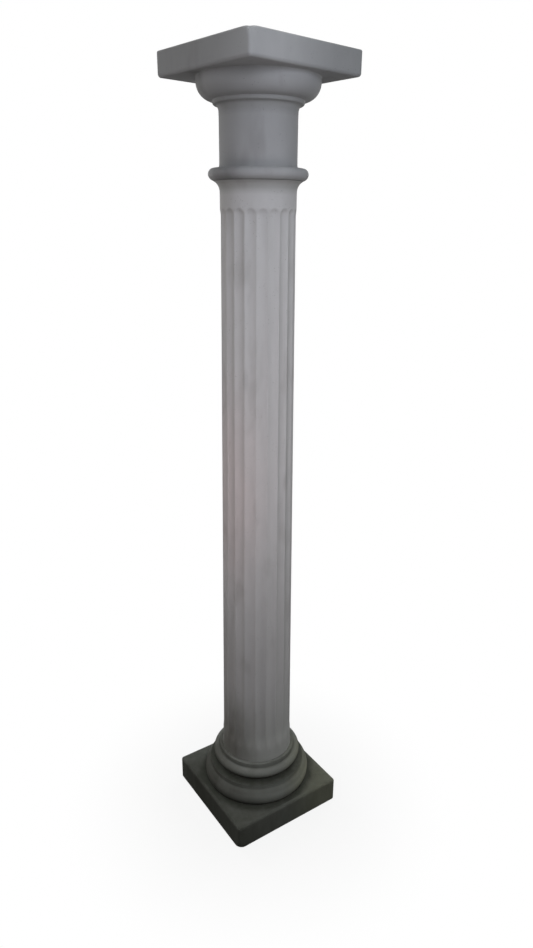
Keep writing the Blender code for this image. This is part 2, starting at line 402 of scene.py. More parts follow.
@dataclass(frozen=True)
class Mould:
    """How a mould softens an outline, and how finely the outline is then followed.

    Attributes:
        softness: How far the mould rounds creases and arrises, as the spread of a smoothing.
        breadth: The spread of the broad smoothing that tells where the creases get painted shade.
        full_crease: The difference between the two smoothings in a crease that gets all of its painted shade.
        step: The step in which outlines are smoothed.
        cutoff: How many spreads away the smoothing's weights end.
        bend: How far an outline may turn between two rows of the skin.
        gap: The longest way between two rows.
    """

    softness: float = 0.0016
    breadth: float = 0.0075
    full_crease: float = 0.0050
    step: float = 0.00025
    cutoff: float = 4.0
    bend: float = radians(8.0)
    gap: float = 0.012

    def smooth(self, path: np.ndarray, spread: float) -> np.ndarray:
        """Step evenly along a path and smooth it, with its ends kept.

        Args:
            path: Its corners as rows of (radius, z).
            spread: The spread of the smoothing.

        Returns:
            The smoothed points.
        """
        lengths = np.hypot(*np.diff(path, axis=0).T)
        run = np.concatenate([[0.0], np.cumsum(lengths)])
        even = np.linspace(0.0, run[-1], int(round(run[-1] / self.step)) + 1)
        points = np.column_stack([np.interp(even, run, path[:, k]) for k in range(2)])
        reach = int(self.cutoff * spread / self.step)
        weights = np.exp(-0.5 * (np.arange(-reach, reach + 1) * self.step / spread) ** 2)
        weights /= weights.sum()
        padded = np.pad(points, ((reach, reach), (0, 0)), mode="reflect", reflect_type="odd")
        return np.column_stack([np.convolve(column, weights, "valid") for column in padded.T])

    def rows(self, path: np.ndarray, pockets: Sequence[Pocket], fine: Sequence[tuple[float, float]] = (),
             fine_gap: float = 0.0012) -> tuple[np.ndarray, np.ndarray]:
        """Choose the rows of a skin along a softened path.

        Args:
            path: The path's corners as rows of (radius, z), along the outer side from below.
            pockets: Where the outline is darkened besides the creases, mostly with painted shade.
            fine: Stretches of height, as (low, high), where the rows lie closer.
            fine_gap: The longest way between two rows there.

        Returns:
            The rows as (radius, z), and how much of a crease each one lies in, from 0 to 1.
        """
        points = self.smooth(path, self.softness)
        along = np.gradient(points, axis=0)
        outward = np.column_stack([along[:, 1], -along[:, 0]])
        outward /= np.linalg.norm(outward, axis=1)[:, None]
        # How deep each point lies in a crease sets how much painted shade it gets.
        filled = ((self.smooth(path, self.breadth) - points) * outward).sum(axis=1)
        crease = np.clip(filled / self.full_crease, 0.0, 1.0)
        for pocket in pockets:
            crease = np.maximum(crease, pocket.share(points[:, 1]))
        heading = np.unwrap(np.arctan2(along[:, 1], along[:, 0]))
        kept = [0]
        for i in range(1, len(points) - 1):
            in_fine = any(low <= points[i, 1] <= high for low, high in fine)
            gap = fine_gap if in_fine else self.gap
            far = np.hypot(*(points[i] - points[kept[-1]])) >= gap
            if far or abs(heading[i] - heading[kept[-1]]) >= self.bend:
                kept.append(i)
        kept.append(len(points) - 1)
        return points[kept], crease[kept]


@dataclass(frozen=True)
class Chip:
    """A corner of a square block that is worn or chipped off along a plane.

    Attributes:
        corner: The signs of the corner's x, y and z, seen from the block's middle.
        depth: How far the plane lies in from the corner of the rounded block.
        slope: The plane's direction, as shares of x, y and z.
        softness: How softly the plane runs out into the block's faces.
    """

    corner: tuple[int, int, int]
    depth: float
    slope: tuple[float, float, float] = (1.0, 1.0, 1.0)
    softness: float = 0.0015

    def plane(self, points: np.ndarray, middle: np.ndarray) -> np.ndarray:
        """Press points back to the plane.

        Args:
            points: Points of the block's skin, one a row.
            middle: The block's middle.

        Returns:
            The points, moved where they stood out.
        """
        normal = np.array(self.corner, float) * np.array(self.slope)
        normal /= np.linalg.norm(normal)
        reach = (points - middle) @ normal
        over = reach - (reach.max() - self.depth)
        pressed = self.softness * np.logaddexp(0.0, over / self.softness)
        return points - pressed[:, None] * normal


@dataclass(frozen=True)
class SquareOutline:
    """A square with rounded corners, which a skin follows in the same columns as its turned part.

    Attributes:
        side: The square's side.
        edge: The radius of its corners and of the block's lower edge.
        top_edge: The radius of the block's upper edge.
        least_corner: The radius that a corner keeps where the outline is inset.
        side_steps, corner_steps: How many stretches each side and each corner is divided into.
        edge_steps: How many rows go round an upper or lower edge.
    """

    side: float
    edge: float
    top_edge: float
    least_corner: float = 0.0005
    side_steps: int = 64
    corner_steps: int = 8
    edge_steps: int = 7

    def ring(self, inset: float, z: float) -> np.ndarray:
        """Lay the outline's points.

        Args:
            inset: How far the outline is drawn in.
            z: Its height.

        Returns:
            The points, counter-clockwise, each side with its corner.
        """
        reach = self.side / 2.0
        widest = np.arctan((reach - self.edge) / reach)
        corner = max(self.edge - inset, self.least_corner)
        centre = reach - inset - corner
        along = reach * np.tan(np.linspace(-widest, widest, self.side_steps + 1)[:-1])
        along = np.clip(along, -centre, centre)
        turns = np.linspace(0.0, pi / 2.0, self.corner_steps + 1)[:-1]
        x = np.concatenate([np.full(self.side_steps, reach - inset), centre + corner * np.cos(turns)])
        y = np.concatenate([along, centre + corner * np.sin(turns)])
        flat_ring = np.vstack([np.column_stack(quarter) for quarter in ((x, y), (-y, x), (-x, -y), (y, -x))])
        return np.column_stack([flat_ring, np.full(len(flat_ring), z)])

    def circle(self, radius: float, z: float) -> np.ndarray:
        """Lay a circle's points in the same columns.

        Args:
            radius: The circle's radius.
            z: Its height.

        Returns:
            The points.
        """
        outline = self.ring(0.0, z)
        around = np.arctan2(outline[:, 1], outline[:, 0])
        return np.column_stack([radius * np.cos(around), radius * np.sin(around), outline[:, 2]])

    def block(self, bottom: float, top: float, face_steps: int) -> list[np.ndarray]:
        """Lay the rings round a block's sides, with both edges.

        Args:
            bottom: The height of its underside.
            top: The height of its upper side.
            face_steps: How many stretches its sides are divided into.

        Returns:
            The rings from the underside up.
        """
        low_edge, high_edge = self.edge, self.top_edge
        turns = np.linspace(0.0, pi / 2.0, self.edge_steps + 1)
        lower = [self.ring(low_edge * (1.0 - sin(t)), bottom + low_edge * (1.0 - cos(t))) for t in turns]
        upper = [self.ring(high_edge * (1.0 - cos(t)), top - high_edge * (1.0 - sin(t))) for t in turns]
        return lower + between(lower[-1], upper[0], face_steps) + upper


def between(first: np.ndarray, last: np.ndarray, steps: int) -> list[np.ndarray]:
    """Return the rings that divide the way between two rings, without these two."""
    return [first + (last - first) * i / steps for i in range(1, steps)]


def round_foot(ring: np.ndarray, radius: float, reach: float) -> np.ndarray:
    """Return how much painted shadow lies at a ring's points, out to some reach from a moulding of some
    radius.
    """
    away = np.hypot(ring[:, 0], ring[:, 1]) - radius
    return np.clip(2.0 - 2.0 * away / reach, 0.0, 1.0)


def pressed(rings: Sequence[np.ndarray], chips: Sequence[Chip]) -> list[np.ndarray]:
    """Wear down the corners of a block.

    Args:
        rings: The rings round the block.
        chips: What is worn off.

    Returns:
        The rings with their points pressed back.
    """
    points = np.vstack(rings)
    middle = (points.min(axis=0) + points.max(axis=0)) / 2.0
    for chip in chips:
        points = chip.plane(points, middle)
    return np.split(points, len(rings))


def new_piece(name: str, points: Sequence[Sequence[float]], faces: Sequence[Sequence[int]],
              creases: Sequence[float]) -> bpy.types.Object:
    """Make a piece of a mesh whose points know how much of a crease they lie in.

    Args:
        name: The piece's name.
        points: The mesh's points.
        faces: Its faces.
        creases: How much of a crease each point lies in.

    Returns:
        The piece, linked to the scene.
    """
    mesh = bpy.data.meshes.new(name)
    mesh.from_pydata(points, [], faces)
    mesh.shade_smooth()
    mark = mesh.attributes.new(CREASE, 'FLOAT', 'POINT')
    mark.data.foreach_set("value", np.array(creases, np.float32))
    piece = bpy.data.objects.new(name, mesh)
    bpy.context.scene.collection.objects.link(piece)
    return piece


def closed_skin(name: str, rings: Sequence[np.ndarray],
                creases: Sequence[float | np.ndarray]) -> bpy.types.Object:
    """Build a closed skin from rings, from its underside up, and close it with a pole at each end.

    Args:
        name: The piece's name.
        rings: Rings of equally many points, each one counter-clockwise seen from above.
        creases: How much of a crease each ring lies in, for the whole ring or for each of its points.

    Returns:
        The piece, linked to the scene.
    """
    columns = len(rings[0])
    marks = np.concatenate([np.broadcast_to(crease, columns) for crease in creases])
    points = np.vstack([*rings, rings[0].mean(axis=0), rings[-1].mean(axis=0)])
    low_pole, high_pole = len(points) - 2, len(points) - 1
    last = (len(rings) - 1) * columns
    faces = []
    for j in range(columns):
        k = (j + 1) % columns
        faces.append((low_pole, k, j))
        faces.append((high_pole, last + j, last + k))
        for row in range(0, last, columns):
            faces.append((row + j, row + k, row + columns + k, row + columns + j))
    return new_piece(name, points.tolist(), faces, [*marks, 0.0, 0.0])


@dataclass(frozen=True)
class StainAndLightPatch:
    """A soft patch of another tone on a casting. Some are stains; the rest are painted light and painted
    shade.

    Attributes:
        around: Its direction from the axis, in degrees from +X.
        radius: The distance of its middle from the axis.
        height: The height of its middle.
        reach: How far it reaches sideways. It reaches further up and down.
        tint: What it does to the stone's colour.
        core: The share of its reach over which it is at its full strength.
    """

    around: float
    radius: float
    height: float
    reach: float
    tint: Colour
    core: float = 0.2

    def middle(self) -> Vector:
        """Return its middle."""
        turn = radians(self.around)
        return Vector((self.radius * cos(turn), self.radius * sin(turn), self.height))


@dataclass(frozen=True)
class CastStone:
    """Grey cast stone: clouded, faintly smudged, finely pored, with dirt in its creases and round its foot.

    Attributes:
        dark, pale: The stone's darkest and palest colours.
        dirt, crease_shade_and_dirt: The colour of the dirt, and how much of it fills the creases.
        dirt_and_shade, crease_shade_and_dirt: The colour that darkens the stone, as soiling and as painted
            shade, and how
        much of it fills the creases, where it is painted shade with some soiling at the joints.
        stains_and_light, patch_evenness: Its own patches, stains and painted light and shade, and how much of
            them doesn't
        follow the mottling.
        tone_shares: How much of its tone these three have.
        contrast: How far they spread its colour between dark and pale.
        smudges, smudge_edge: The pattern of its smudges, and the range over which a smudge sets in.
        smudge, smudge_share: What the smudges do to its colour, and how strong they are.
        foot_darkening, foot_darkening_top: How much darker the stone is made towards the ground, and up to
            which height.
        plinth_darkening, plinth_darkening_top, plinth_darkening_edge: How much darker the plinth is made, up
        to which
            height, and the height over which it ends.
        dirt_and_shade_shares: How much of the darkening lies evenly, and how much with the mottling.
        most_dirt_and_shade: The most that the darkening hides of the stone.
        pores, pore_size: How many cells there are to a metre, and the range over which each one's pore ends.
        pored, pored_edge: The pattern of the patches that have pores, and the range over which one sets in.
        pore_dirt: How much dirt the pores hold.
        roughness, rough_shares: The least roughness, and what the mottling and the darkening add to it.
        relief, relief_parts: The depth of the pores, and how deep grain and mottling are beside them.
        relief_share: How strongly the relief shows in the light.
        gloss: How much the stone mirrors.
        upright: How much patches are drawn out up and down, as a scale of each direction.
    """

    dark: Colour = (0.45, 0.45, 0.455)
    pale: Colour = (0.55, 0.55, 0.56)
    # The darkening colour: soiling, and painted shade in the creases.
    dirt_and_shade: Colour = (0.070, 0.078, 0.060)
    # How much of it the creases get: painted shade, with some soiling at the joints.
    crease_shade_and_dirt: float = 0.5
    stains_and_light: tuple[StainAndLightPatch, ...] = ()
    patch_evenness: float = 0.5
    cloud: Noise = Noise(7.0, 4.0)
    mottle: Noise = Noise(42.0, 4.0, 0.55)
    grain: Noise = Noise(700.0, 3.0, 0.6)
    tone_shares: tuple[float, float, float] = (0.45, 0.40, 0.15)
    contrast: float = 1.8
    smudges: Noise = Noise(24.0, 2.0)
    smudge_edge: tuple[float, float] = (0.56, 0.76)
    smudge: Colour = (0.80, 0.79, 0.78)
    smudge_share: float = 0.6
    foot_darkening: float = 0.30
    foot_darkening_top: float = 0.38
    plinth_darkening: float = 0.60
    plinth_darkening_top: float = 0.069
    plinth_darkening_edge: float = 0.012
    dirt_and_shade_shares: tuple[float, float] = (0.75, 0.5)
    most_dirt_and_shade: float = 0.95
    pores: float = 190.0
    pore_size: tuple[float, float] = (0.07, 0.20)
    pored: Noise = Noise(35.0, 2.0)
    pored_edge: tuple[float, float] = (0.50, 0.64)
    pore_dirt: float = 0.45
    roughness: float = 0.74
    rough_shares: tuple[float, float] = (0.12, 0.08)
    relief: float = 0.0004
    relief_parts: tuple[float, float] = (0.30, 0.25)
    relief_share: float = 0.6
    gloss: float = 0.3
    upright: Colour = (1.0, 1.0, 0.35)

    def patched(self, make: NodeMaker, upright: Socket, mottle: Socket, stone: Socket) -> Socket:
        """Lay the patches over the stone, stains and painted light and shade, with edges that the mottling
        breaks up.

        Args:
            make: The maker of the material's nodes.
            upright: The place, drawn out up and down.
            mottle: The mottling.
            stone: The clean stone's colour.

        Returns:
            The stone's colour with the patches on it.
        """
        # Stains, and patches of painted light and painted shade.
        for tone_patch in self.stains_and_light:
            middle = tone_patch.middle() * Vector(self.upright)
            away = make.add('ShaderNodeVectorMath', {"operation": 'DISTANCE'}, {0: upright, 1: middle},
                            "Value")
            share = 1.0 - away.ramp(tone_patch.core * tone_patch.reach, tone_patch.reach)
            share = share * (self.patch_evenness + mottle)
            stone = make.blend(share.at_most(1.0), stone, tone_patch.tint, Blend.MULTIPLY)
        return stone

    def dirt_and_shade_cover(self, make: NodeMaker, place: Socket, mottle: Socket) -> Socket:
        """Work out how much the darkening covers the stone: towards the foot, on the plinth and in the
        creases, where it is painted shade.

        Args:
            make: The maker of the material's nodes.
            place: The place.
            mottle: The mottling.

        Returns:
            How much of the stone the darkening hides.
        """
        z = make.height(place)
        # Darker towards the ground and on the plinth.
        foot_darkening = (1.0 - z / self.foot_darkening_top).at_least(0.0) * self.foot_darkening
        plinth_darkening = (1.0 - z.ramp(self.plinth_darkening_top, self.plinth_darkening_top + self.plinth_darkening_edge)) * self.plinth_darkening
        # The crease attribute carries the painted shade in the creases and pockets.
        crease = make.add('ShaderNodeAttribute', {"attribute_name": CREASE}, output="Fac")
        clean = (1.0 - foot_darkening) * (1.0 - plinth_darkening) * (1.0 - crease * self.crease_shade_and_dirt)
        even, mottled = self.dirt_and_shade_shares
        return (1.0 - clean) * (even + mottle * mottled)

    def material(self, name: str) -> bpy.types.Material:
        """Build the material.

        Args:
            name: The material's name.

        Returns:
            The material, whose patterns all lie in the model's own frame.
        """
        material = bpy.data.materials.new(name)
        material.use_nodes = True
        shader = material.node_tree.nodes["Principled BSDF"]
        make = NodeMaker(material.node_tree)
        place = make.add('ShaderNodeTexCoord', output="Object")
        upright = make.scaled(place, self.upright)

        mottle = make.noise(upright, self.mottle)
        grain = make.noise(place, self.grain)
        clouded, mottled, grained = self.tone_shares
        tone = make.noise(upright, self.cloud) * clouded + mottle * mottled + grain * grained
        stone = make.blend(((tone - 0.5) * self.contrast + 0.5).held(), self.dark, self.pale)
        smudges = make.noise(upright, self.smudges).ramp(*self.smudge_edge)
        stone = make.blend(smudges * self.smudge_share, stone, self.smudge, Blend.MULTIPLY)
        stone = self.patched(make, upright, mottle, stone)
        # Painted shade in the creases, and darkening towards the foot, laid on in the darkening colour.
        covered = self.dirt_and_shade_cover(make, place, mottle)
        stone = make.blend(covered.at_most(self.most_dirt_and_shade), stone, self.dirt_and_shade)

        cells = make.add('ShaderNodeTexVoronoi', inputs={"Vector": place, "Scale": self.pores},
                         output="Distance")
        pores = (1.0 - cells.ramp(*self.pore_size)) * make.noise(place, self.pored).ramp(*self.pored_edge)
        stone = make.blend(pores * self.pore_dirt, stone, self.dirt_and_shade)

        rough = self.roughness + mottle * self.rough_shares[0] + covered * self.rough_shares[1]
        relief = grain * self.relief_parts[0] + mottle * self.relief_parts[1] - pores
        bump = make.add('ShaderNodeBump', inputs={
            "Strength": self.relief_share, "Distance": self.relief, "Height": relief})
        for output, name in ((stone, "Base Color"), (rough, "Roughness"), (bump, "Normal")):
            material.node_tree.links.new(output.output, shader.inputs[name])
        shader.inputs["Specular IOR Level"].default_value = self.gloss
        return material


@dataclass(frozen=True)
class Unevenness:
    """The slight waviness that a casting's surface has from its mould.

    Attributes:
        depth: How far its deepest hollows lie below the true surface, which it never stands out from.
        broad_scale, close_scale: How many broad and how many close waves there are to a metre.
        close_share: How much of the depth the close waves have.
        detail: How many finer layers the waves have.
        bed: The height near both ends over which the surface runs out to the true, flat bed.
    """

    depth: float = 0.0006
    broad_scale: float = 7.0
    close_scale: float = 32.0
    close_share: float = 0.3
    detail: float = 2.0
    bed: float = 0.004

    def press(self, piece: bpy.types.Object, seed: float, finish: bpy.types.Material) -> None:
        """Press a piece in along its normals by a noise, with a Geometry Nodes tree.

        Args:
            piece: The piece.
            seed: Which noise it gets.
            finish: Its material.
        """
        heights = [corner[2] for corner in piece.bound_box]
        tree = GeometryTree("uneven_surface", {
            "Depth": self.depth, "Broad Scale": self.broad_scale, "Close Scale": self.close_scale,
            "Close Share": self.close_share, "Detail": self.detail, "Bed": self.bed, "Low": min(heights),
            "High": max(heights), "Seed": seed})
        make, given = tree.maker, tree.given
        place = make.add('GeometryNodeInputPosition')
        z = make.height(place)
        waves = [make.add('ShaderNodeTexNoise', {"noise_dimensions": '4D'}, {
            "Vector": place, "W": given("Seed"), "Scale": given(label), "Detail": given("Detail")})
            for label in ("Broad Scale", "Close Scale")]
        share = given("Close Share")
        wave = waves[0] * (1.0 - share) + waves[1] * share
        off_bed = ((z - given("Low")).at_most(given("High") - z) / given("Bed")).held()
        inward = wave * off_bed * given("Depth") * -1.0
        offset = make.add('ShaderNodeVectorMath', {"operation": 'SCALE'},
                          {0: make.add('GeometryNodeInputNormal'), "Scale": inward})
        tree.close(make.add('GeometryNodeSetPosition',
                            inputs={"Geometry": given("Geometry"), "Offset": offset}))
        tree.apply(piece, finish)


@dataclass
class Casting:
    """One casting of the column, which stands for one solid of the model.

    Attributes:
        node: The solid.
        seed: Which waves its surface has.
        stone: Its finish.
        mould: How its mould softens its outline.
        unevenness: How uneven its surface is.
        finish: Its material, which is made from its finish.
    """

    node: str
    seed: float
    stone: CastStone
    mould: Mould = Mould()
    unevenness: Unevenness = Unevenness()
    finish: bpy.types.Material = field(init=False)

    def __post_init__(self) -> None:
        """Make the material."""
        self.finish = self.stone.material(f"cast_stone_{self.node}")

    def build(self) -> bpy.types.Object:
        """Build the casting's skin, before its surface is made uneven."""
        raise NotImplementedError

    def dress(self, piece: bpy.types.Object) -> None:
        """Make the skin uneven, with the finish on it, and give it its place in the model.

        Args:
            piece: The casting's skin.
        """
        self.unevenness.press(piece, self.seed, self.finish)
        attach(piece, BODY)
        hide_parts(self.node)
        log.info("%s stands for %s: %d points, %d faces", piece.name, self.node, len(piece.data.vertices),
                 len(piece.data.polygons))


@dataclass
class Shaft(Casting):
    """The tapered shaft with its flutes, and a plain band at both ends.

    Attributes:
        foot_radius, head_radius: The radius to the arrises at the flutes' lower and upper ends.
        band_proud, runout: How far the plain bands stand out from the arrises, and how high their ends are.
        flare_height, flare: The height of the spread foot, and how far it spreads.
        lower_band, upper_band: The heights of the plain bands.
        cavetto_height, cavetto: The height of the hollow under the astragal, and how far its crown spreads.
        cavetto_swell: The half axis across of its ellipse.
        flutes, flute_depth: How many flutes there are, and their depth.
        deepest_cut: The deepest cut, in flute depths, that still counts as part of a flute.
        arris_width, arris_softness: The width of the arrises between them, and how far they are rounded.
        foot_runout: The height over which the flutes run out at their foot.
        foot_shade_and_dirt, top_shade_and_dirt: The darkening at the joints to the base and to the capital:
            painted shade in the crease at the foot and painted shadow under the astragal, each with some
            soiling of the joint.
        head_shade: How much painted shade lies in the heads of the flutes.
        head_shade_rise, head_shade_depth: The height and the range of depths over which it sets in.
        head_reach: The height below the upper ends of the flutes where the rows lie close.
        flute_columns: How many columns the skin has across one flute.
        pole_share: Where the flat ends begin, as a share of their radius.
    """

    node: str = "shaft"
    seed: float = 1.0
    stone: CastStone = CastStone(crease_shade_and_dirt=0.36, stains_and_light=(
        StainAndLightPatch(-143.0, 0.082, 1.170, 0.012, (0.88, 0.88, 0.88)),
        StainAndLightPatch(-70.0, 0.083, 0.930, 0.014, (0.85, 0.84, 0.84)),
        # Painted shade under the astragal, on the left.
        StainAndLightPatch(-178.0, 0.080, 1.530, 0.035, (0.88, 0.88, 0.87)),
        # Painted warm light on the left.
        StainAndLightPatch(-175.0, 0.085, 0.900, 0.120, (1.06, 0.985, 0.975)),
        # Painted shade on the left of the foot.
        StainAndLightPatch(-175.0, 0.088, 0.150, 0.090, (0.45, 0.43, 0.41)),
        # Painted shade low on the left.
        StainAndLightPatch(160.0, 0.088, 0.450, 0.075, (0.84, 0.83, 0.82)),
        # Painted shade, darker and greener towards the foot.
        StainAndLightPatch(0.0, 0.000, 0.000, 0.170, (0.90, 0.955, 0.88)),
    ))
    foot_radius: float = 0.0884
    head_radius: float = 0.0783
    band_proud: float = 0.0012
    runout: float = 0.012
    flare_height: float = 0.016
    flare: float = 0.003
    lower_band: float = 0.028
    upper_band: float = 0.032
    cavetto_height: float = 0.0213
    cavetto: float = 0.013
    cavetto_swell: float = 0.020
    flutes: int = 20
    flute_depth: float = 0.0032
    deepest_cut: float = 1.5
    arris_width: float = 0.0015
    arris_softness: float = 0.0016
    foot_runout: float = 0.030
    foot_shade_and_dirt: Pocket = Pocket(0.0, 0.014, 0.6)
    top_shade_and_dirt: Pocket = Pocket(0.0, 0.026, 0.95)
    head_shade: float = 0.3
    head_shade_rise: float = 0.012
    head_shade_depth: tuple[float, float] = (0.0002, 0.0016)
    head_reach: float = 0.024
    flute_columns: int = 18
    pole_share: float = 0.6

    def spread_radius(self) -> float:
        """Return the radius of the shaft's spread foot."""
        return self.foot_radius + self.band_proud + self.flare

    def neck_radius(self) -> float:
        """Return the radius of the upper band, which the neck above goes on with."""
        return self.head_radius + self.band_proud

    def heights(self) -> tuple[float, float, float, float]:
        """Work out the shaft's main heights.

        Returns:
            The heights of its foot, of both ends of its flutes, and of its top.
        """
        low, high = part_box(self.node)
        flutes_bottom = low.z + self.flare_height + self.lower_band
        return low.z, flutes_bottom, high.z - self.cavetto_height - self.upper_band, high.z

    def members(self) -> list[Member]:
        """Size the shaft's members, before its flutes are cut.

        Returns:
            The members from the foot up, measured from the arrises at the foot.
        """
        band = self.band_proud
        taper = self.head_radius - self.foot_radius
        _, flutes_bottom, flutes_top, _ = self.heights()
        return [
            Member(Form.HOLLOW, self.flare_height, band, foot=self.flare, swell=self.flare),
            Member(Form.STRAIGHT, self.lower_band, band),
            Member(Form.STRAIGHT, self.runout, band, crown=-band),
            Member(Form.STRAIGHT, flutes_top - flutes_bottom - 2.0 * self.runout, crown=taper),
            Member(Form.STRAIGHT, self.runout, taper, crown=band),
            Member(Form.STRAIGHT, self.upper_band, taper + band),
            Member(Form.HOLLOW, self.cavetto_height, taper + band, crown=self.cavetto,
                   swell=self.cavetto_swell),
        ]

    def outline(self) -> bpy.types.Object:
        """Draw the softened outline for the turning tree.

        Returns:
            A piece with the outline's points and how much of a crease each one lies in.
        """
        foot, _, flutes_top, top = self.heights()
        side = stacked(foot, self.foot_radius, self.members())
        path = with_flat_ends(side, self.pole_share * side[0, 0], self.pole_share * side[-1, 0])
        # Painted shade in the crease at the foot and painted shadow under the astragal, with some soiling of
        # both joints.
        rows, creases = self.mould.rows(path, [self.foot_shade_and_dirt.at(foot), self.top_shade_and_dirt.at(top)],
                                        [(flutes_top - self.head_reach, flutes_top + self.flute_depth)])
        rows = np.vstack([[0.0, rows[0, 1]], rows, [0.0, rows[-1, 1]]])
        points = [(radius, 0.0, z) for radius, z in rows.tolist()]
        return new_piece("shaft_casting", points, [], [0.0, *creases, 0.0])

    def turning_tree(self) -> GeometryTree:
        """Build the tree that turns an outline about the axis and cuts the flutes into it.

        A flute is the hollow that a round-ended rod leaves. The rod's radius, and the distance of its axis
        from the shaft's, follow from the flute's width and depth and from the shaft's radius at each height.

        Returns:
            The tree. It takes the outline's points in order, as (radius, 0, z).
        """
        _, flutes_bottom, flutes_top, _ = self.heights()
        tree = GeometryTree("turned_and_fluted", {
            "Columns": self.flutes * self.flute_columns, "Flutes": self.flutes,
            "Flute Depth": self.flute_depth, "Arris Width": self.arris_width,
            "Arris Softness": self.arris_softness, "Deepest Cut": self.flute_depth * self.deepest_cut,
            "Foot Radius": self.foot_radius, "Head Radius": self.head_radius, "Flutes Bottom": flutes_bottom,
            "Flutes Top": flutes_top, "Foot Runout": self.foot_runout, "Head Shade": self.head_shade})
        make, given = tree.maker, tree.given
        outline = given("Geometry")
        rows = make.add('GeometryNodeAttributeDomainSize', {"component": 'MESH'}, {"Geometry": outline},
                        "Point Count")
        grid = make.add('GeometryNodeMeshGrid', inputs={
            "Size X": 1.0, "Size Y": 1.0, "Vertices X": given("Columns") + 1.0, "Vertices Y": rows},
            output="Mesh")
        on_grid = make.add('ShaderNodeSeparateXYZ', inputs={0: make.add('GeometryNodeInputPosition')})
        turn = on_grid.sibling("X") + 0.5
        row = make.add('FunctionNodeFloatToInt', {"rounding_mode": 'ROUND'},
                       {0: (on_grid.sibling("Y") + 0.5) * (rows - 1.0)})

        def from_row(kind: str, value: Socket) -> Socket:
            """Return a value of the outline's point that a point of the grid belongs to."""
            return make.add('GeometryNodeSampleIndex', {"data_type": kind, "domain": 'POINT'},
                            {"Geometry": outline, "Value": value, "Index": row}, "Value")

        place = make.add('ShaderNodeSeparateXYZ', inputs={
            0: from_row('FLOAT_VECTOR', make.add('GeometryNodeInputPosition'))})
        radius, z = place.sibling("X"), place.sibling("Z")
        crease = from_row('FLOAT', make.add(
            'GeometryNodeInputNamedAttribute', {"data_type": 'FLOAT'}, {"Name": CREASE}, "Attribute"))

        rod_foot, axis_foot, past_rod_foot = self.flute_section(tree, given("Foot Radius"))
        rod_head, axis_head, past_rod_head = self.flute_section(tree, given("Head Radius"))
        low_centre = given("Flutes Bottom") + given("Foot Runout")
        high_centre = given("Flutes Top") - past_rod_head
        share = ((z - low_centre) / (high_centre - low_centre)).held()
        rod = rod_foot + (rod_head - rod_foot) * share
        axis = axis_foot + (axis_head - axis_foot) * share
        past_foot = (low_centre - z) * past_rod_foot / given("Foot Runout")
        past_end = past_foot.at_least(z - high_centre).at_least(0.0)
        in_flute = make.maths('FRACT', turn * given("Flutes")) - 0.5
        from_middle = in_flute * (2.0 * pi) / given("Flutes")
        across = axis * make.maths('SINE', from_middle)
        under_root = rod * rod - past_end * past_end - across * across
        floor = axis * make.maths('COSINE', from_middle) - under_root.root()
        cut = make.maths('SMOOTH_MIN', radius, floor, given("Arris Softness"))
        deepest = radius - given("Deepest Cut")
        skin = radius + (cut - radius) * (cut - deepest).ramp(-CUT_EDGE, CUT_EDGE)
        # Painted shade in the heads of the flutes.
        in_head = (z - high_centre).ramp(0.0, self.head_shade_rise)
        in_head = in_head * (radius - skin).ramp(*self.head_shade_depth) * given("Head Shade")

        around = turn * (2.0 * pi)
        turned = make.add('ShaderNodeCombineXYZ', inputs={
            "X": skin * make.maths('COSINE', around), "Y": skin * make.maths('SINE', around), "Z": z})
        marked = make.add('GeometryNodeStoreNamedAttribute', {"data_type": 'FLOAT', "domain": 'POINT'},
                          {"Geometry": grid, "Name": CREASE, "Value": crease.at_least(in_head)})
        shaped = make.add('GeometryNodeSetPosition', inputs={"Geometry": marked, "Position": turned})
        sealed = make.add('GeometryNodeMergeByDistance', inputs={"Geometry": shaped, "Distance": SEAM})
        tree.close(make.add('GeometryNodeSetShadeSmooth', inputs={"Geometry": sealed}))
        return tree

    @staticmethod
    def flute_section(tree: GeometryTree, arris_radius: Socket) -> tuple[Socket, Socket, Socket]:
        """Work out how a flute's round section sits in a shaft of some radius.

        Args:
            tree: The tree that holds the flutes' sizes.
            arris_radius: The shaft's radius to its arrises.

        Returns:
            The radius of the rod that leaves the flute, the distance of the rod's axis from the shaft's, and
            how far the flute reaches past the centre of the rod's round end.
        """
        make, depth = tree.maker, tree.given("Flute Depth")
        half_pitch = make.maths('DIVIDE', pi, tree.given("Flutes"))
        half_width = arris_radius * make.maths('SINE', half_pitch) - tree.given("Arris Width") / 2.0
        chord = (arris_radius * arris_radius - half_width * half_width).root()
        rod = (half_width * half_width + depth * depth) / (depth * 2.0)
        axis = chord - depth + rod
        off_arris = axis - arris_radius
        return rod, axis, (rod * rod - off_arris * off_arris).root()

    def build(self) -> bpy.types.Object:
        """Turn the outline and cut the flutes.

        Returns:
            The skin, before its surface is made uneven.
        """
        piece = self.outline()
        self.turning_tree().apply(piece, self.finish)
        return piece


@dataclass
class SquareCasting(Casting):
    """A casting of a square block and turned mouldings.

    Attributes:
        shaft: The shaft that it is fitted to.
        skirt: How far the block's flat follows the turned part before it spreads to the square.
        spread_steps: How many stretches that spread is divided into.
        face_steps: How many stretches the block's sides are divided into.
        chips: The corners of the block that are worn.
    """

    shaft: Shaft = field(default_factory=Shaft)
    skirt: float = 0.009
    spread_steps: int = 4
    face_steps: int = 6
    chips: tuple[Chip, ...] = ()


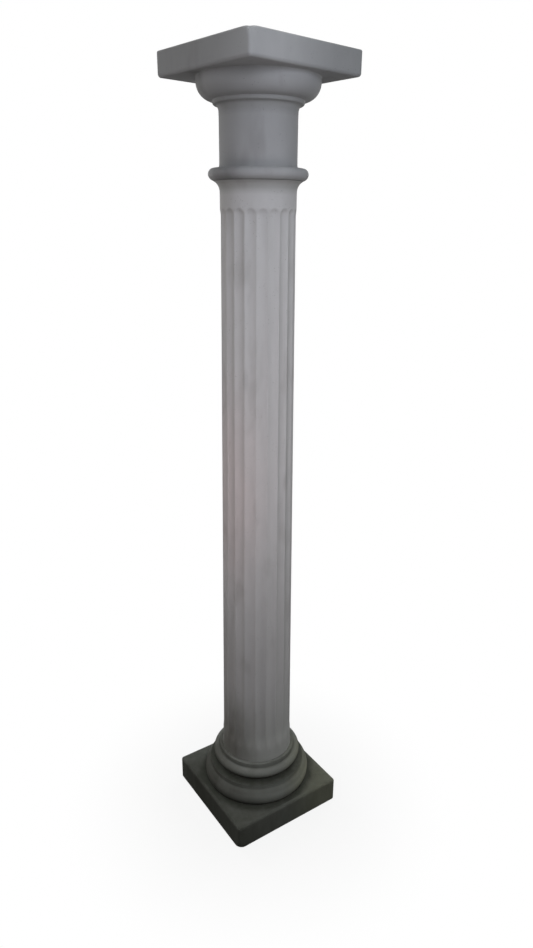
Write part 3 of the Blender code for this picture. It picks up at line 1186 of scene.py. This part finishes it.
@dataclass
class Base(SquareCasting):
    """The base: the square plinth with its turned mouldings, which are measured from the shaft's spread foot.

    Attributes:
        plinth_height, plinth_edge: The plinth's height, and the radius of its edges and corners.
        lower_torus, fillet, scotia, upper_torus, cincture: The mouldings from the plinth up.
        torus_shade, fillet_shade, scotia_shadow: Painted shade at three mouldings, measured from each one's
            foot: where the lower torus meets the plinth, at the top of the lower torus under the fillet, and
                in the scotia.
        joint_shade_and_dirt: The darkening at the joint to the shaft: painted shade in the crease, with some
            soiling of it.
        plinth_shadow, plinth_shadow_reach: How much painted shadow lies on the plinth round the torus, and
            how far out it reaches.
    """

    node: str = "base"
    seed: float = 0.0
    stone: CastStone = CastStone(
        dark=(0.240, 0.252, 0.237), pale=(0.300, 0.315, 0.295), dirt_and_shade=(0.042, 0.046, 0.036), crease_shade_and_dirt=0.92,
        stains_and_light=(
            # Painted light on the plinth's right side.
            StainAndLightPatch(-45.0, 0.210, 0.050, 0.17, (1.65, 1.62, 1.32)),
            # Painted shade at the plinth's near corner.
            StainAndLightPatch(-135.0, 0.210, 0.040, 0.16, (0.88, 0.87, 0.86)),
            # Painted shadow round the torus's foot on the left.
            StainAndLightPatch(165.0, 0.130, 0.120, 0.12, (0.52, 0.50, 0.48)),
            # Painted shade on the plinth's left side.
            StainAndLightPatch(155.0, 0.200, 0.000, 0.15, (0.62, 0.61, 0.60)),
            StainAndLightPatch(-155.0, 0.200, 0.000, 0.15, (0.62, 0.61, 0.60)),
            StainAndLightPatch(-45.0, 0.100, 0.250, 0.15, (0.66, 0.66, 0.65)),
        ))
    plinth_height: float = 0.069
    plinth_edge: float = 0.007
    lower_torus: Member = Member(Form.BULGE, 0.043, 0.0465, 0.008, 0.014, 0.022)
    fillet: Member = Member(Form.STRAIGHT, 0.011, 0.0325)
    scotia: Member = Member(Form.HOLLOW, 0.011, 0.0095, 0.019, 0.0055, 0.018)
    upper_torus: Member = Member(Form.BULGE, 0.024, 0.0225, 0.0075, 0.0125, 0.013)
    cincture: Member = Member(Form.STRAIGHT, 0.0115, 0.007)
    torus_shade: Pocket = Pocket(0.0, 0.003)
    fillet_shade: Pocket = Pocket(-0.004, 0.008, 0.35)
    scotia_shadow: Pocket = Pocket(0.00462, 0.0079)
    joint_shade_and_dirt: Pocket = Pocket(0.0, 0.010, 0.18)
    plinth_shadow: float = 0.8
    plinth_shadow_reach: float = 0.026
    spread_steps: int = 10
    face_steps: int = 8
    chips: tuple[Chip, ...] = (Chip((-1, -1, -1), 0.0045),)

    def build(self) -> bpy.types.Object:
        """Build the base from the plinth's underside up.

        Returns:
            The skin, before its surface is made uneven.
        """
        low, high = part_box(self.node)
        plinth_top = low.z + self.plinth_height
        fillet = plinth_top + self.lower_torus.height
        outline = SquareOutline(high.x - low.x, self.plinth_edge, self.plinth_edge)
        side = stacked(plinth_top, self.shaft.spread_radius(), [
            self.lower_torus, self.fillet, self.scotia, self.upper_torus, self.cincture])
        path = with_flat_ends(side, side[0, 0] + self.skirt, self.shaft.pole_share * side[-1, 0])
        # Painted shade at the torus's foot, under the fillet, in the scotia and at the joint.
        rows, creases = self.mould.rows(path, [
            self.torus_shade.at(plinth_top), self.fillet_shade.at(fillet),
            self.scotia_shadow.at(fillet + self.fillet.height), self.joint_shade_and_dirt.at(high.z)])
        turned = [outline.circle(radius, z) for radius, z in rows]
        block = pressed(outline.block(low.z, plinth_top, self.face_steps), self.chips)
        under = [outline.circle(share * block[0][0, 0], low.z) for share in FLAT_RINGS]
        spread = between(block[-1], turned[0], self.spread_steps)
        # Painted shadow on the plinth round the torus's foot.
        on_top = [self.plinth_shadow * round_foot(ring, side[0, 0], self.plinth_shadow_reach) for ring in spread]
        plain = under + block
        return closed_skin("base_casting", plain + spread + turned,
                           [0.0] * len(plain) + on_top + creases.tolist())


@dataclass
class Capital(SquareCasting):
    """The capital, a little askew. Its turned mouldings are measured from the neck.

    Attributes:
        turn: How far it is turned from the plinth's sides.
        abacus_height, abacus_margin: The abacus's height, and how far it stands out from the echinus.
        abacus_edge, abacus_top_edge: The radius of its corners and lower edge, and of its upper edge.
        astragal, cove, neck, flare, annulet, echinus: The mouldings from the joint up. The cove and the
            flare are the hollows that lead into the neck and out of it.
        joint_shade_and_dirt: The darkening at the joint to the shaft: painted shade in the crease, with some
            soiling of it.
        annulet_shadow: The painted shadow under the annulet, measured from the flare's foot.
    """

    node: str = "capital"
    seed: float = 2.0
    stone: CastStone = CastStone(dark=(0.320, 0.324, 0.336), pale=(0.388, 0.393, 0.407), stains_and_light=(
        # Painted shade at the capital's right corner.
        StainAndLightPatch(-37.9, 0.210, 1.780, 0.22, (0.74, 0.75, 0.75)),
        # Painted light on the near part of the abacus's right side.
        StainAndLightPatch(-107.0, 0.225, 1.780, 0.11, (1.14, 1.14, 1.14)),
        # Painted shade on the capital's left side.
        StainAndLightPatch(-172.9, 0.130, 1.950, 0.18, (0.75, 0.75, 0.74)),
        # Painted shade at the capital's left corner.
        StainAndLightPatch(142.1, 0.210, 1.850, 0.14, (0.85, 0.85, 0.84)),
        # Painted shade on the astragal's left.
        StainAndLightPatch(-165.0, 0.100, 1.500, 0.06, (0.58, 0.58, 0.57)),
        # Painted shade under the abacus on the left.
        StainAndLightPatch(168.0, 0.124, 1.756, 0.030, (0.70, 0.70, 0.69)),
    ))
    mould: Mould = Mould(softness=0.0022, full_crease=0.020)
    turn: float = radians(7.1)
    abacus_height: float = 0.047
    abacus_edge: float = 0.007
    abacus_top_edge: float = 0.0035
    abacus_margin: float = 0.0192
    astragal: Member = Member(Form.BULGE, 0.0237, 0.0235, 0.0105, 0.0075, 0.015)
    cove: Member = Member(Form.HOLLOW, 0.0078, foot=0.0025, swell=0.0025)
    neck: Member = Member(Form.STRAIGHT, 0.093)
    flare: Member = Member(Form.HOLLOW, 0.013, crown=0.0065, swell=0.0065)
    annulet: Member = Member(Form.BULGE, 0.0085, 0.0127, 0.004, 0.001, 0.004)
    echinus: Member = Member(Form.BULGE, 0.041, 0.0443, 0.0271, 0.0013, 0.032)
    joint_shade_and_dirt: Pocket = Pocket(0.0, 0.008, 0.15)
    annulet_shadow: Pocket = Pocket(0.0078, 0.016, 0.45)
    chips: tuple[Chip, ...] = (Chip((-1, -1, 1), 0.0026, (0.7, 0.7, 1.0), 0.002),)

    def build(self) -> bpy.types.Object:
        """Build the capital from the joint up.

        Returns:
            The skin, before its surface is made uneven.
        """
        low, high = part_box(self.node)
        neck = self.shaft.neck_radius()
        flare = low.z + self.astragal.height + self.cove.height + self.neck.height
        outline = SquareOutline(2.0 * (neck + self.echinus.proud + self.abacus_margin), self.abacus_edge,
                                self.abacus_top_edge)
        side = stacked(low.z, neck, [
            self.astragal, self.cove, self.neck, self.flare, self.annulet, self.echinus])
        path = with_flat_ends(side, self.shaft.pole_share * side[0, 0], side[-1, 0] + self.skirt)
        # Painted shade at the joint, and painted shadow under the annulet.
        rows, creases = self.mould.rows(path, [self.joint_shade_and_dirt.at(low.z), self.annulet_shadow.at(flare)])
        turned = [outline.circle(radius, z) for radius, z in rows]
        block = pressed(outline.block(high.z - self.abacus_height, high.z, self.face_steps), self.chips)
        over = [outline.circle(share * block[-1][0, 0], high.z) for share in reversed(FLAT_RINGS)]
        plain = between(turned[-1], block[0], self.spread_steps) + block + over
        piece = closed_skin("capital_casting", turned + plain, creases.tolist() + [0.0] * len(plain))
        piece.data.transform(Matrix.Rotation(self.turn, 4, 'Z'))
        return piece


@dataclass(frozen=True)
class PaleFloor:
    """The studio's floor, which runs out into the pale ground behind.

    Attributes:
        radius, corners: The floor's radius, and how many corners its edge has.
        near: The distance from the axis up to which the whole shade shows.
        clear: The distance at which nothing of it is left.
        ground: The brightness of the ground.
        shade_share: How much of the column's shade the floor shows.
        tone: The floor's own colour, under that shade.
    """

    radius: float = 30.0
    corners: int = 96
    near: float = 0.16
    clear: float = 0.55
    ground: float = 1.0
    shade_share: float = 0.12
    tone: Colour = (0.8, 0.8, 0.8)

    def material(self) -> bpy.types.Material:
        """Build the floor's material.

        Returns:
            A pale ground that shows a little of the column's shade.
        """
        material = bpy.data.materials.new("pale_floor")
        material.use_nodes = True
        tree = material.node_tree
        tree.nodes.clear()
        make = NodeMaker(tree)
        place = make.add('ShaderNodeTexCoord', output="Object")
        away = make.add('ShaderNodeVectorMath', {"operation": 'LENGTH'}, {0: place}, "Value")
        shown = (1.0 - away.ramp(self.near, self.clear)) * self.shade_share
        plain = make.add('ShaderNodeEmission', inputs={"Color": WHITE, "Strength": self.ground})
        shaded = make.add('ShaderNodeBsdfDiffuse', inputs={"Color": (*self.tone, 1.0)})
        mixed = make.add('ShaderNodeMixShader', inputs={0: shown, 1: plain, 2: shaded})
        end = tree.nodes.new('ShaderNodeOutputMaterial')
        tree.links.new(mixed.output, end.inputs["Surface"])
        return material

    def build(self) -> bpy.types.Object:
        """Build the floor.

        Returns:
            A disc that sends no light back to the column.
        """
        bpy.ops.mesh.primitive_circle_add(vertices=self.corners, radius=self.radius, fill_type='NGON')
        floor = bpy.context.object
        floor.name = "floor"
        floor.data.materials.append(self.material())
        floor.visible_diffuse = False
        floor.visible_glossy = False
        return floor


@dataclass(frozen=True)
class Lamp:
    """One soft lamp, aimed at the column's axis.

    Attributes:
        name: Its name.
        bearing: Its direction from the column, in degrees to the right of the camera's.
        away, height: The distance of its middle from the axis, and its height.
        width, rise: Its width, and its height from edge to edge.
        power, colour: Its power in watts, and its colour.
        aim: The height on the axis that it faces.
    """

    name: str
    bearing: float
    away: float
    height: float
    width: float
    rise: float
    power: float
    colour: Colour
    aim: float

    def build(self, camera_bearing: float) -> bpy.types.Object:
        """Build the lamp.

        Args:
            camera_bearing: The camera's own direction from the column, in degrees.

        Returns:
            The lamp.
        """
        light = bpy.data.lights.new(self.name, 'AREA')
        light.shape = 'RECTANGLE'
        light.size = self.width
        light.size_y = self.rise
        light.energy = self.power
        light.color = self.colour
        lamp = bpy.data.objects.new(self.name, light)
        lamp.visible_camera = False
        bpy.context.scene.collection.objects.link(lamp)
        turn = radians(camera_bearing + self.bearing)
        lamp.location = (self.away * sin(turn), -self.away * cos(turn), self.height)
        facing = Vector((0.0, 0.0, self.aim)) - lamp.location
        lamp.rotation_euler = facing.to_track_quat('-Z', 'Y').to_euler()
        return lamp


@dataclass(frozen=True)
class PhotoCamera:
    """The camera as the photograph was taken: held above and close to the column, looking down.

    Attributes:
        bearing: The camera's direction from the column, in degrees to the right of straight in front.
        away: Its distance from the axis.
        height: Its height.
        pitch, roll, yaw: How far it looks down, leans, and looks past the axis to the right.
        lens, film: Its focal length, and how tall its picture is on the film, in millimetres.
    """

    bearing: float = -33.55
    away: float = 1.5625
    height: float = 1.496
    pitch: float = radians(19.864)
    roll: float = radians(0.442)
    yaw: float = radians(0.781)
    lens: float = 26.85
    film: float = 36.0

    def build(self) -> bpy.types.Object:
        """Build the camera and make it the scene's.

        Returns:
            The camera.
        """
        ahead = Vector((sin(self.yaw) * cos(self.pitch), cos(self.yaw) * cos(self.pitch), -sin(self.pitch)))
        level = Vector((cos(self.yaw), -sin(self.yaw), 0.0))
        upward = level.cross(ahead)
        right = cos(self.roll) * level + sin(self.roll) * upward
        up = cos(self.roll) * upward - sin(self.roll) * level
        pose = Matrix((right, up, -ahead)).transposed().to_4x4()
        pose.translation = (0.0, -self.away, self.height)
        data = bpy.data.cameras.new("camera")
        data.sensor_width = self.film
        data.lens = self.lens
        camera = bpy.data.objects.new("camera", data)
        bpy.context.scene.collection.objects.link(camera)
        camera.matrix_world = Matrix.Rotation(radians(self.bearing), 4, 'Z') @ pose
        bpy.context.scene.camera = camera
        return camera


@dataclass
class Studio:
    """Floor, lamps, surroundings and camera.

    Attributes:
        camera: The camera.
        floor: The floor.
        around: The colour of the light that comes from all sides.
        around_strength: Its strength.
        lamps: The lamps.
    """

    camera: PhotoCamera = field(default_factory=PhotoCamera)
    floor: PaleFloor = field(default_factory=PaleFloor)
    around: Colour = (1.0, 1.02, 0.93)
    around_strength: float = 0.07
    lamps: list[Lamp] = field(default_factory=lambda: [
        Lamp("window", 12.0, 1.1, 1.9, 0.6, 0.6, 4.6, (0.95, 0.992, 1.080), 1.2),
        Lamp("window_side", 45.0, 1.1, 1.9, 0.6, 0.6, 1.0, (0.95, 0.985, 1.085), 1.2),
        Lamp("near", -2.0, 0.75, 1.0, 0.4, 0.4, 1.65, (1.06, 0.963, 0.98), 1.1),
        Lamp("left", -50.0, 2.2, 2.2, 1.2, 1.0, 3.6, (1.03, 1.0, 0.98), 0.9),
        Lamp("far_left", -85.0, 2.2, 1.5, 1.2, 1.2, 4.4, (1.08, 0.98, 0.96), 0.9),
        Lamp("right", 80.0, 2.2, 1.1, 1.2, 1.6, 8.5, (1.02, 1.0, 0.98), 0.9),
        Lamp("ceiling", 10.0, 0.4, 3.2, 1.0, 1.0, 10.6, (1.0, 1.02, 0.96), 0.9),
        Lamp("behind_right", 150.0, 2.2, 1.6, 1.2, 1.6, 15.0, (1.0, 1.0, 1.0), 0.9),
        Lamp("behind_left", -130.0, 2.2, 1.6, 1.2, 1.6, 18.0, (1.0, 1.0, 1.0), 0.9),
    ])

    def surroundings(self) -> None:
        """Light the scene a little from all sides, and show a pale ground behind it."""
        world = bpy.data.worlds.new("surroundings")
        bpy.context.scene.world = world
        world.use_nodes = True
        tree = world.node_tree
        tree.nodes.clear()
        make = NodeMaker(tree)
        light = make.add('ShaderNodeBackground', inputs={
            "Color": (*self.around, 1.0), "Strength": self.around_strength})
        ground = make.add('ShaderNodeBackground', inputs={
            "Color": WHITE, "Strength": self.floor.ground})
        seen = make.add('ShaderNodeLightPath', output="Is Camera Ray")
        mixed = make.add('ShaderNodeMixShader', inputs={0: seen, 1: light, 2: ground})
        end = tree.nodes.new('ShaderNodeOutputWorld')
        tree.links.new(mixed.output, end.inputs["Surface"])

    def build(self) -> None:
        """Build the studio."""
        self.surroundings()
        self.floor.build()
        for lamp in self.lamps:
            lamp.build(self.camera.bearing)
            log.info("lamp %s at %.1f degrees", lamp.name, lamp.bearing)
        self.camera.build()
        bpy.context.scene.view_settings.view_transform = "Standard"


def main() -> None:
    """Build the castings from the foot up, and then the studio."""
    logging.basicConfig(level=logging.INFO, format="%(name)s: %(message)s")
    shaft = Shaft()
    for casting in (Base(shaft=shaft), shaft, Capital(shaft=shaft)):
        casting.dress(casting.build())
    Studio().build()


if __name__ == "__main__":
    main()
